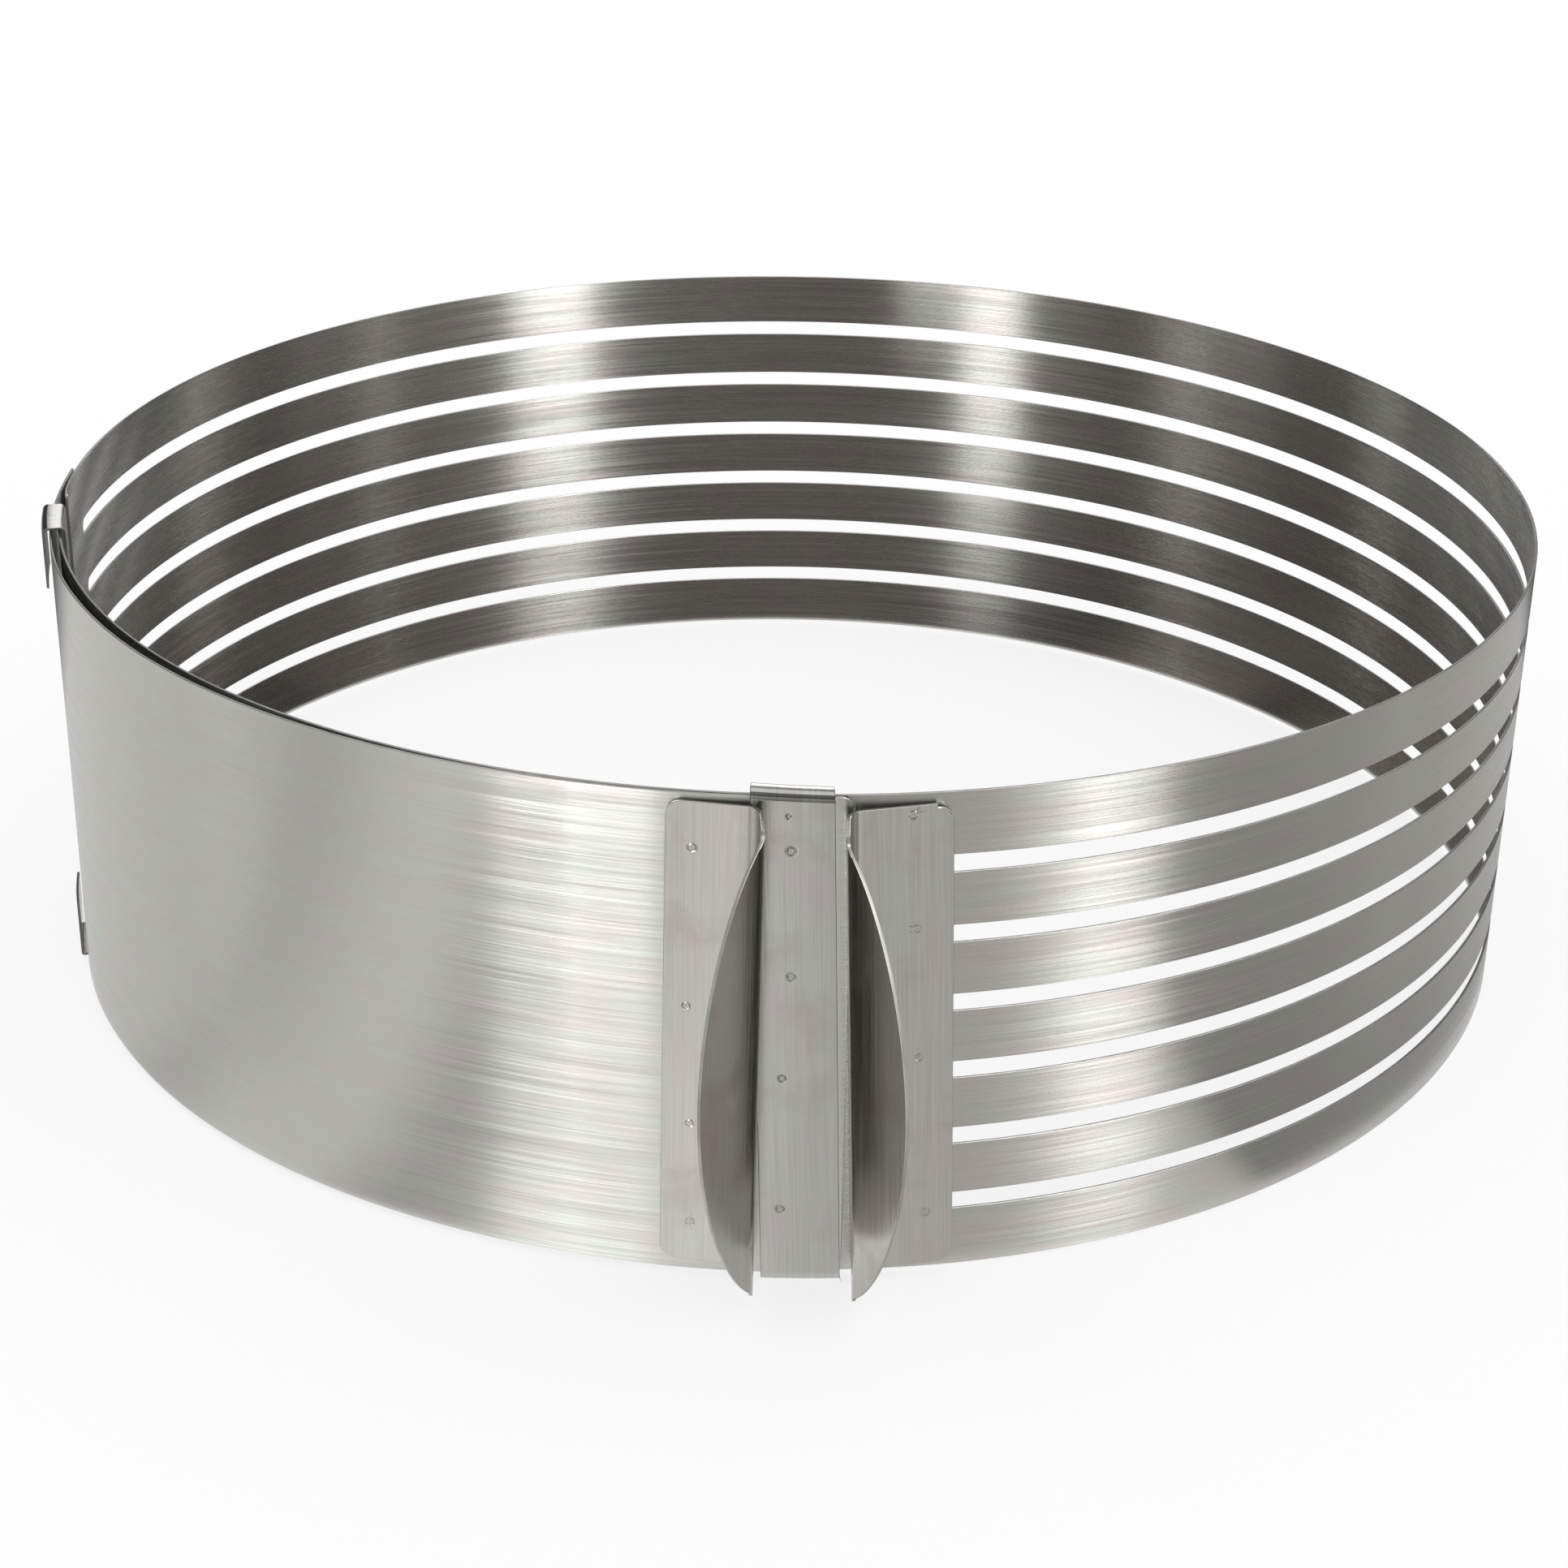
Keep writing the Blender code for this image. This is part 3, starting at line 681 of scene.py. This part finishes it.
class CAKERING_OT_slotted_strip(bpy.types.Operator):
    """Makes the inner strip with its knife slots, from the hidden tongue round to the left"""

    bl_idname = "cake_ring.slotted_strip"
    bl_label = "Slotted Strip"

    def execute(self, context):
        s, plan = sizes(), Plan()
        radius = plan.inner
        start, end = s.tongue, FULL_TURN + s.plain_back + s.tab_lap
        slot_start = turn_of(plan.right_web + s.right_width - s.slot_cover)
        slot_end = FULL_TURN + s.plain_back
        corners = [stop / radius for stop in corner_stops(s.corner)]
        tips = [stop / radius for stop in corner_stops(s.slot_height / 2)]
        turns = [start + stop for stop in corners[:-1]]
        turns += between(start + corners[-1], slot_start, FACET)[:-1]
        turns += [slot_start + stop for stop in tips[:-1]]
        turns += between(slot_start + tips[-1], slot_end - tips[-1], FACET)
        turns += [slot_end - stop for stop in tips[-2::-1]]
        turns += between(slot_end, end - corners[-1], FACET)[1:]
        turns += [end - stop for stop in corners[-2::-1]]
        pitch = s.height / (s.slots + 1)
        columns = []
        for turn in turns:
            inset = rounding(min(turn - start, end - turn) * radius, s.corner)
            half = slot_half(turn, slot_start, slot_end, radius)
            heights = [plan.base + inset]
            for k in range(1, s.slots + 1):
                heights += [plan.base + pitch * k - half, plan.base + pitch * k + half]
            heights.append(plan.top - inset)
            columns.append([(on_ring(radius, turn, height), (turn * radius, height)) for height in heights])
        steel = strip_steel("slotted_strip_steel", finish().slotted, finish().slotted_roughness)
        piece = sheet_piece("slotted_strip", columns, s.sheet, steel, open_rows=range(1, 2 * s.slots, 2))
        settle(piece, "inner_band", "sliding_side")
        return {"FINISHED"}


# Guides


def make_guide(name, profile, middle, skew, hook_rise, groove, welds, steel):
    """A strip folded over the ring's edges: profile holds its radii and heights.

    Middle is its turn, skew its lean to the left and hook_rise how much higher its hook is at the
    left end. The two heights in groove are the ends of the band in its groove that is darkened as painted
    shade.
    """
    s, plan = sizes(), Plan()
    half = s.guide_width / 2
    lengths = lengths_along(profile)
    stops = lengths + between(0.0, lengths[-1], GUIDE_STEP)
    front = [(length, point.y) for length, point in zip(lengths, profile) if point.x > plan.inner]
    for _, height, _ in welds:
        length, below = max(place for place in front if place[1] <= height)
        stops += weld_stops([length + height - below])
    stops = merged([stop for stop in stops if 0 <= stop <= lengths[-1]], LEAST_STEP)
    arcs = merged(between(-half, half, GUIDE_FACET) + weld_stops([weld[0] for weld in welds]), LEAST_STEP)
    arcs = [arc for arc in arcs if -half <= arc <= half]
    columns = []
    for arc in arcs:
        column = []
        for distance in stops:
            point = along(profile, lengths, distance)
            level = weld_ring((arc, point.y), welds) if point.x > plan.inner else 0.0
            # Painted shade: the groove between the rolls is darkened
            in_groove = point.x > s.radius and groove[0] <= point.y <= groove[1]
            groove_shade_level = finish().groove_painted_shade if in_groove else 0.0
            point = point + Vector((-1, 0)) * s.weld_depth * level
            lean = turn_of((plan.guide_top / 2 - point.y) * math.tan(skew))
            hooked = smooth(1 - (plan.top - point.y) / s.hook_reach)
            rise = hook_rise * (half - arc) / s.guide_width * hooked
            place = on_ring(point.x, middle + turn_of(arc) + lean, point.y + rise)
            column.append((place, (distance, arc), level, groove_shade_level))
        columns.append(column)
    # Painted shade along the guides' cut edges
    shaded_edge = edge_steel("guide_edge_shade_steel", finish().guide_edge_shade)
    return sheet_piece(name, columns, s.guide_sheet, steel, shaded_edge, shades=(WELD_SHADE, PAINTED_SHADE))


class CAKERING_OT_guides(bpy.types.Operator):
    """Makes both guides: the upright one at the clasp and the one on the tongue's end"""

    bl_idname = "cake_ring.guides"
    bl_label = "Guides"

    def execute(self, context):
        s, plan = sizes(), Plan()
        face = s.radius + s.gap + s.guide_sheet
        brow, bead = face + s.brow, face + s.bead
        bead_base = plan.top - s.bead_drop
        groove = bead_base + s.bead_height
        lip, top = plan.lip, plan.guide_top
        corners = [(lip, s.guide_lip), (lip, 0.0), (face, 0.0), (face, bead_base), (bead, bead_base)]
        corners += [(bead, groove - (bead - brow)), (brow, groove), (brow, top - s.brow_slope)]
        corners += [(brow - s.brow_slope, top), (lip, top), (lip, top - s.guide_lip)]
        bends = [s.guide_fold, s.guide_fold, s.crease, s.crease, s.crease, s.crease]
        bends += [s.soft_crease, s.soft_crease, s.guide_roll]
        profile, middle = filleted(corners, bends), turn_of(plan.guide_arc)
        lean = s.guide_skew, s.hook_rise
        # The band of painted shade runs from the lower roll's top to the upper roll's slope
        hollow = groove, top - s.brow_slope
        steel = folded_steel("clasp_guide_steel", finish().guide)
        piece = make_guide("clasp_guide", profile, middle, *lean, hollow, GUIDE_WELDS, steel)
        settle(piece, "front_guide", "outer_side")

        flange = s.radius + s.flare + s.gap + s.guide_sheet
        corners = [(flange, top - s.flange), (flange, top), (lip, top)]
        corners += [(lip, 0.0), (flange, 0.0), (flange, s.flange)]
        bends = [s.guide_roll, s.guide_roll, s.guide_fold, s.guide_fold]
        profile = filleted(corners, bends)
        middle = s.tongue + turn_of(s.end_inset + s.guide_width / 2)
        steel = folded_steel("tongue_guide_steel", finish().guide)
        piece = make_guide("tongue_guide", profile, middle, 0.0, 0.0, (0.0, 0.0), (), steel)
        settle(piece, "end_guide", "sliding_side")
        return {"FINISHED"}


# Handles


def leaf_reach(height, half):
    """How far a handle's sheet goes past the leaf's fold, this far above its middle."""
    s = sizes()
    inner = half - s.web_corner
    if abs(height) >= inner:
        return -rounding(half - abs(height), s.web_corner)
    return s.leaf_width * (1 - (height / inner) ** 2) ** s.leaf_fullness


def make_handle(name, side, web_arc, width, rise, band_radius, tilt, leaf_lean, welds, inside, steel):
    """A folded handle: flat plate, upright web and a leaf leaning back over the plate.

    Side is 1 for the left handle and -1 for its mirrored shape on the right. Its web stands at
    web_arc, and inside is how much painted shade darkens web and leaf beside the plate.
    """
    s, plan = sizes(), Plan()
    half = s.handle_height / 2
    web = Vector((width, 0.0))
    heading = SQUARE + s.web_lean
    fold = web + Vector((math.cos(heading), math.sin(heading))) * s.web_depth
    heading = SQUARE + leaf_lean
    tip = fold + Vector((math.cos(heading), math.sin(heading))) * s.leaf_width
    steps = HANDLE_BEND_STEPS
    outline = filleted([(0.0, 0.0), web, fold, tip], [s.plate_bend, s.leaf_bend], steps)
    lengths = lengths_along(outline)
    fold_length = (lengths[steps + 2] + lengths[2 * steps + 2]) / 2
    stops = corner_stops(s.plate_corner) + lengths[1:-1]
    stops += between(0.0, lengths[1], PLATE_STEP) + weld_stops([weld[0] for weld in welds])
    stops = merged([stop for stop in stops if stop <= lengths[-2]], LEAST_STEP)
    ends = corner_stops(max(s.plate_corner, s.web_corner))
    inner = half - ends[-1]
    heights = [sign * (half - stop) for stop in ends for sign in (-1, 1)]
    heights += [-inner * math.cos(math.pi * k / LEAF_HEIGHTS) for k in range(LEAF_HEIGHTS + 1)]
    heights += weld_stops([weld[1] for weld in welds])
    heights = merged(heights, LEAST_STEP)
    edge_turn = turn_of(web_arc - side * width)
    stand = on_ring(band_radius + s.gap, edge_turn, plan.base + rise + half)
    place = Matrix.Translation(stand) @ Euler((0.0, tilt, edge_turn)).to_matrix().to_4x4()
    leaf_parts = [k / LEAF_PARTS for k in range(1, LEAF_PARTS + 1)]
    bend_start, bend_end = lengths[1], lengths[steps + 1]
    rows = []
    for height in heights:
        first = rounding(half - abs(height), s.plate_corner)
        last = fold_length + leaf_reach(height, half)
        row = [min(max(stop, first), last) for stop in stops]
        reached = row[-1]
        row += [reached + (last - reached) * part for part in leaf_parts]
        cells = []
        for distance in row:
            point = along(outline, lengths, distance)
            level = weld_ring((distance, height), welds) if distance < bend_start else 0.0
            point = point + Vector((0, -1)) * s.weld_depth * level
            point = place @ Vector((side * point.x, -point.y, height))
            # Painted shade: web and leaf darken from the plate's bend onwards
            darker = inside * smooth((distance - bend_start) / (bend_end - bend_start))
            cells.append((point, (height, side * distance), level, darker))
        rows.append(cells)
    shades = WELD_SHADE, PAINTED_SHADE
    return sheet_piece(name, list(zip(*rows)), s.handle_sheet, steel, flip=side > 0, shades=shades)


class CAKERING_OT_handles(bpy.types.Operator):
    """Makes both folded handles with their finger leaves"""

    bl_idname = "cake_ring.handles"
    bl_label = "Handles"

    def execute(self, context):
        s, plan, f = sizes(), Plan(), finish()
        steel = folded_steel("handle_steel", f.handle)
        place = (plan.left_web, s.left_width, s.left_rise, s.radius, s.left_tilt, s.left_leaf_lean)
        piece = make_handle("left_finger_handle", 1, *place, LEFT_WELDS, 1 - f.left_painted_shade, steel)
        settle(piece, "left_handle", "outer_side")
        place = (plan.right_web, s.right_width, s.right_rise, plan.inner, s.right_tilt, s.right_leaf_lean)
        piece = make_handle("right_finger_handle", -1, *place, RIGHT_WELDS, 1 - f.right_painted_shade, steel)
        settle(piece, "right_handle", "sliding_side")
        return {"FINISHED"}


# Studio

# The flags' tones at azimuths in degrees, 0 towards the clasp and growing to the right
WALL_TONES = {
    -180: 0.45, -165: 0.05, -124: 0.05, -120: 0.30, -116: 0.05, -92: 0.06, -86: 0.80,
    -80: 0.75, -75: 0.10, -62: 0.15, -50: 0.60, -22: 0.60, -15: 0.22, 20: 0.20,
    36: 0.45, 56: 0.90, 68: 0.45, 88: 0.20, 92: 0.60, 96: 0.60, 100: 0.08,
    125: 0.03, 132: 0.25, 139: 0.03, 168: 0.05, 180: 0.45,
}
ROOF_TONES = {
    -180: 1.0, -135: 1.0, -128: 0.15, -118: 0.15, -112: 1.0, 122: 1.0, 128: 0.10,
    170: 0.10, 176: 1.0,
}
# The inner flag is a dark disc seen only in reflections: painted shade in place of the floor inside the
# ring
INNER_SHADE_TONES = {
    -180: 0.12, -134: 0.12, -126: 0.05, -107: 0.21, -95: 0.12, 98: 0.13, 120: 0.20,
    129: 0.06, 135: 0.15, 146: 0.15, 152: 0.06, 163: 0.06, 172: 0.12,
}
# The floor flag, seen only in reflections, is a painted reflection of the floor: painted highlight and
# shade bands by azimuth
FLOOR_TONES = {
    -150: 0.30, -124: 0.20, -112: 0.85, -62: 0.75, -55: 0.64, -44: 0.82, -37: 0.84,
    -29: 0.50, -24: 0.58, -21: 0.72, -15: 0.86, -13: 0.90, -7: 1.05, 0: 0.78,
    12: 0.64, 23: 0.62, 26: 0.78, 35: 0.82, 38: 0.30, 52: 0.38, 70: 0.50,
    90: 0.62, 118: 0.72, 127: 0.12, 172: 0.12,
}
# Each lamp's name, its azimuths in degrees, distance, lowest and highest edge and radiance
LAMPS = (
    ("left_soft_box", -39.6, -29.4, 1.5, 0.20, 0.75, 16.0),
    ("left_low_box", -29.5, -17.8, 1.0, 0.0, 0.16, 12.5),
    ("right_soft_box", 38.3, 53.0, 1.45, 0.28, 1.8, 12.5),
    ("right_low_box", 39.0, 50.0, 1.0, 0.0, 0.14, 3.6),
    ("back_soft_box", 150.0, 210.0, 1.5, 0.55, 0.95, 2.0),
)
# Margins are gaps to the ring and lifts are heights above the floor
FLOOR_HALF = 6.0
AROUND = 96  # facets of a flag that goes all the way round
WALL_RADIUS, WALL_HEIGHT = 1.6, 1.9
ROOF_HOLE = 0.3
FLOOR_FLAG_MARGIN, FLOOR_FLAG_EDGE, FLOOR_FLAG_LIFT = 0.0005, 1.58, 0.0004
INNER_FLAG_MARGIN, INNER_FLAG_LIFT = 0.0003, 0.001


def floor_material(tone, glow):
    """Matt paper that takes the ring's shadow, partly plain white where it is seen or mirrored."""
    material, tree, shader = new_material("floor_paper")
    feed(shader, {"Base Color": (*tone, 1.0), "Roughness": 0.9, "Specular IOR Level": 0.0})
    path = add_node(tree, "ShaderNodeLightPath", (-600, 400))
    seen = maths(tree, "MAXIMUM", (-400, 400), path.outputs["Is Camera Ray"], path.outputs["Is Glossy Ray"])
    seen = maths(tree, "MAXIMUM", (-200, 400), seen, path.outputs["Is Transmission Ray"])
    part = maths(tree, "MULTIPLY", (0, 400), seen, glow)
    white = add_node(tree, "ShaderNodeEmission", (0, 200), {0: (1, 1, 1, 1), 1: 1.0})
    feeds = {0: part, 1: shader.outputs[0], 2: white.outputs[0]}
    both = add_node(tree, "ShaderNodeMixShader", (300, 200), feeds)
    feed(tree.nodes["Material Output"], {"Surface": both.outputs[0]})
    return material


def flag_material(name, tint, tones):
    """A flag's cloth, whose tone follows the azimuth round the ring."""
    material, tree, _ = new_material(name)
    tree.nodes.clear()
    place = add_node(tree, "ShaderNodeTexCoord", (-1100, 0))
    feeds = {0: place.outputs["Object"], 1: AXIS}
    centred = add_node(tree, "ShaderNodeVectorMath", (-900, 0), feeds, operation="SUBTRACT")
    parts = add_node(tree, "ShaderNodeSeparateXYZ", (-700, 0), {0: centred.outputs[0]})
    ahead = maths(tree, "MULTIPLY", (-500, -100), parts.outputs[1], -1.0)
    azimuth = maths(tree, "ARCTAN2", (-300, 0), parts.outputs[0], ahead)
    turned = maths(tree, "MULTIPLY_ADD", (-100, 0), azimuth, 1 / FULL_TURN, 0.5)
    ramp = add_node(tree, "ShaderNodeValToRGB", (100, 0), {0: turned})
    stops = ramp.color_ramp.elements
    while len(stops) < len(tones):
        stops.new(0.5)
    for stop, (degrees, tone) in zip(stops, tones.items()):
        stop.position = degrees / 360 + 0.5
        stop.color = (tone * tint[0], tone * tint[1], tone * tint[2], 1.0)
    glow = add_node(tree, "ShaderNodeEmission", (400, 0), {0: ramp.outputs[0]})
    add_node(tree, "ShaderNodeOutputMaterial", (600, 0), {"Surface": glow.outputs[0]})
    return material


def stage_mesh(name, points, faces, material):
    mesh = bpy.data.meshes.new(name)
    mesh.from_pydata([tuple(point) for point in points], [], faces)
    mesh.materials.append(material)
    made = new_object(name, mesh)
    return made


def flag(name, points, faces, cloth):
    only_in_reflections(stage_mesh(name, points, faces, cloth))


def round_flag(name, first_edge, other_edge, steps, cloth):
    """A flag round the ring between two edges, each a radius and a height."""
    edges, count = (first_edge, other_edge), len(steps)
    points = [on_ring(radius, FULL_TURN * k / AROUND, height) for radius, height in edges for k in steps]
    ends = [(k, (k + 1) % count) for k in range(count if count == AROUND else count - 1)]
    flag(name, points, [(k, after, count + after, count + k) for k, after in ends], cloth)


def only_in_reflections(made):
    made.visible_camera = False
    made.visible_diffuse = False
    made.visible_shadow = False
    made.visible_transmission = False


def soft_box(name, start, end, distance, low, high, radiance):
    """An upright soft lamp that faces the ring, from low to high above the floor."""
    azimuth = (start + end) / 2
    width = 2 * distance * math.tan((end - start) / 2)
    data = bpy.data.lights.new(name, "AREA")
    data.shape = "RECTANGLE"
    data.size, data.size_y = width, high - low
    data.energy = radiance * math.pi * width * (high - low)
    lamp = new_object(name, data)
    lamp.location = on_ring(distance, azimuth, (low + high) / 2)
    lamp.rotation_euler = (SQUARE, 0.0, azimuth)
    only_in_reflections(lamp)


class CAKERING_OT_studio(bpy.types.Operator):
    """Sets up the floor, the lamps, the flags and the camera"""

    bl_idname = "cake_ring.studio"
    bl_label = "Studio"

    def execute(self, context):
        st, s, plan = studio(), sizes(), Plan()
        scene = context.scene
        scene.view_settings.view_transform = "Standard"
        world = bpy.data.worlds.new("white_room")
        world.use_nodes = True
        feed(world.node_tree.nodes["Background"], {"Color": (1, 1, 1, 1), "Strength": st.sky})
        scene.world = world

        half = FLOOR_HALF
        corners = [(-half, -half, 0), (half, -half, 0), (half, half, 0), (-half, half, 0)]
        stage_mesh("floor", corners, [(0, 1, 2, 3)], floor_material(st.floor, st.glow))

        everywhere = range(AROUND)
        cloth = flag_material("wall_flag_cloth", st.flag, WALL_TONES)
        foot, corner = (WALL_RADIUS, 0.0), (WALL_RADIUS, WALL_HEIGHT)
        round_flag("wall_flags", foot, corner, everywhere, cloth)
        cloth = flag_material("roof_flag_cloth", (1, 1, 1), ROOF_TONES)
        round_flag("roof_flag", (ROOF_HOLE, WALL_HEIGHT), corner, everywhere, cloth)
        # Painted reflection of the floor, with painted highlight and shade bands, seen only by the metal
        cloth = flag_material("floor_flag_cloth", st.flag, FLOOR_TONES)
        first, last = (round(AROUND * end(FLOOR_TONES) / 360) for end in (min, max))
        near = s.radius + s.flare + FLOOR_FLAG_MARGIN
        edges = (near, FLOOR_FLAG_LIFT), (FLOOR_FLAG_EDGE, FLOOR_FLAG_LIFT)
        round_flag("floor_flag", *edges, range(first, last + 1), cloth)
        # Painted shade: a dark disc, seen only in reflections, over the floor inside the ring
        cloth = flag_material("inner_shade_flag_cloth", st.inner_shade_flag, INNER_SHADE_TONES)
        rim = plan.inner_face - INNER_FLAG_MARGIN
        disc = [on_ring(rim, FULL_TURN * k / AROUND, INNER_FLAG_LIFT) for k in everywhere]
        flag("inner_shade_flag", disc, [tuple(everywhere)], cloth)

        for name, start, end, distance, low, high, radiance in LAMPS:
            soft_box(name, math.radians(start), math.radians(end), distance, low, high, radiance)

        camera = bpy.data.cameras.new("camera")
        camera.lens = st.lens
        camera.sensor_width = 36.0
        camera.clip_start, camera.clip_end = 0.01, 50.0
        seen = new_object("camera", camera)
        aim = AXIS + Vector((0, 0, plan.base + st.aim))
        back = Vector((0, -math.cos(st.elevation), math.sin(st.elevation)))
        eye = aim + back * st.distance
        ahead, right = -back, Vector((1, 0, 0))
        up = right.cross(ahead)
        axes = [right, up, ahead]  # the camera turns about its own
        for k, turn in ((1, st.yaw), (0, st.pitch), (2, st.roll)):
            spin = Matrix.Rotation(turn, 3, axes[k])
            axes = [spin @ axis for axis in axes]
        right, up, ahead = axes
        turned = Matrix((right, up, -ahead)).transposed().to_4x4()
        seen.matrix_world = Matrix.Translation(eye) @ turned
        scene.camera = seen
        return {"FINISHED"}


class CAKERING_PT_panel(bpy.types.Panel):
    """Lists the ring's pieces and its studio"""

    bl_idname = "CAKERING_PT_panel"
    bl_label = "Cake Slicing Ring"
    bl_space_type = "VIEW_3D"
    bl_region_type = "UI"
    bl_category = "Cake Ring"

    def draw(self, context):
        for step in STEPS:
            self.layout.operator(step)


STEPS = (
    "cake_ring.plain_strip",
    "cake_ring.slotted_strip",
    "cake_ring.guides",
    "cake_ring.handles",
    "cake_ring.studio",
)
CLASSES = (
    CakeRingSizes,
    CakeRingFinish,
    CakeRingStudio,
    CAKERING_OT_plain_strip,
    CAKERING_OT_slotted_strip,
    CAKERING_OT_guides,
    CAKERING_OT_handles,
    CAKERING_OT_studio,
    CAKERING_PT_panel,
)


def register():
    for made in CLASSES:
        bpy.utils.register_class(made)
    bpy.types.Scene.cake_ring_sizes = PointerProperty(type=CakeRingSizes)
    bpy.types.Scene.cake_ring_finish = PointerProperty(type=CakeRingFinish)
    bpy.types.Scene.cake_ring_studio = PointerProperty(type=CakeRingStudio)


def unregister():
    for name in ("sizes", "finish", "studio"):
        delattr(bpy.types.Scene, "cake_ring_" + name)
    for made in reversed(CLASSES):
        bpy.utils.unregister_class(made)


def main():
    register()
    for step in STEPS:
        family, name = step.split(".")
        getattr(getattr(bpy.ops, family), name)()


if __name__ == "__main__":
    main()
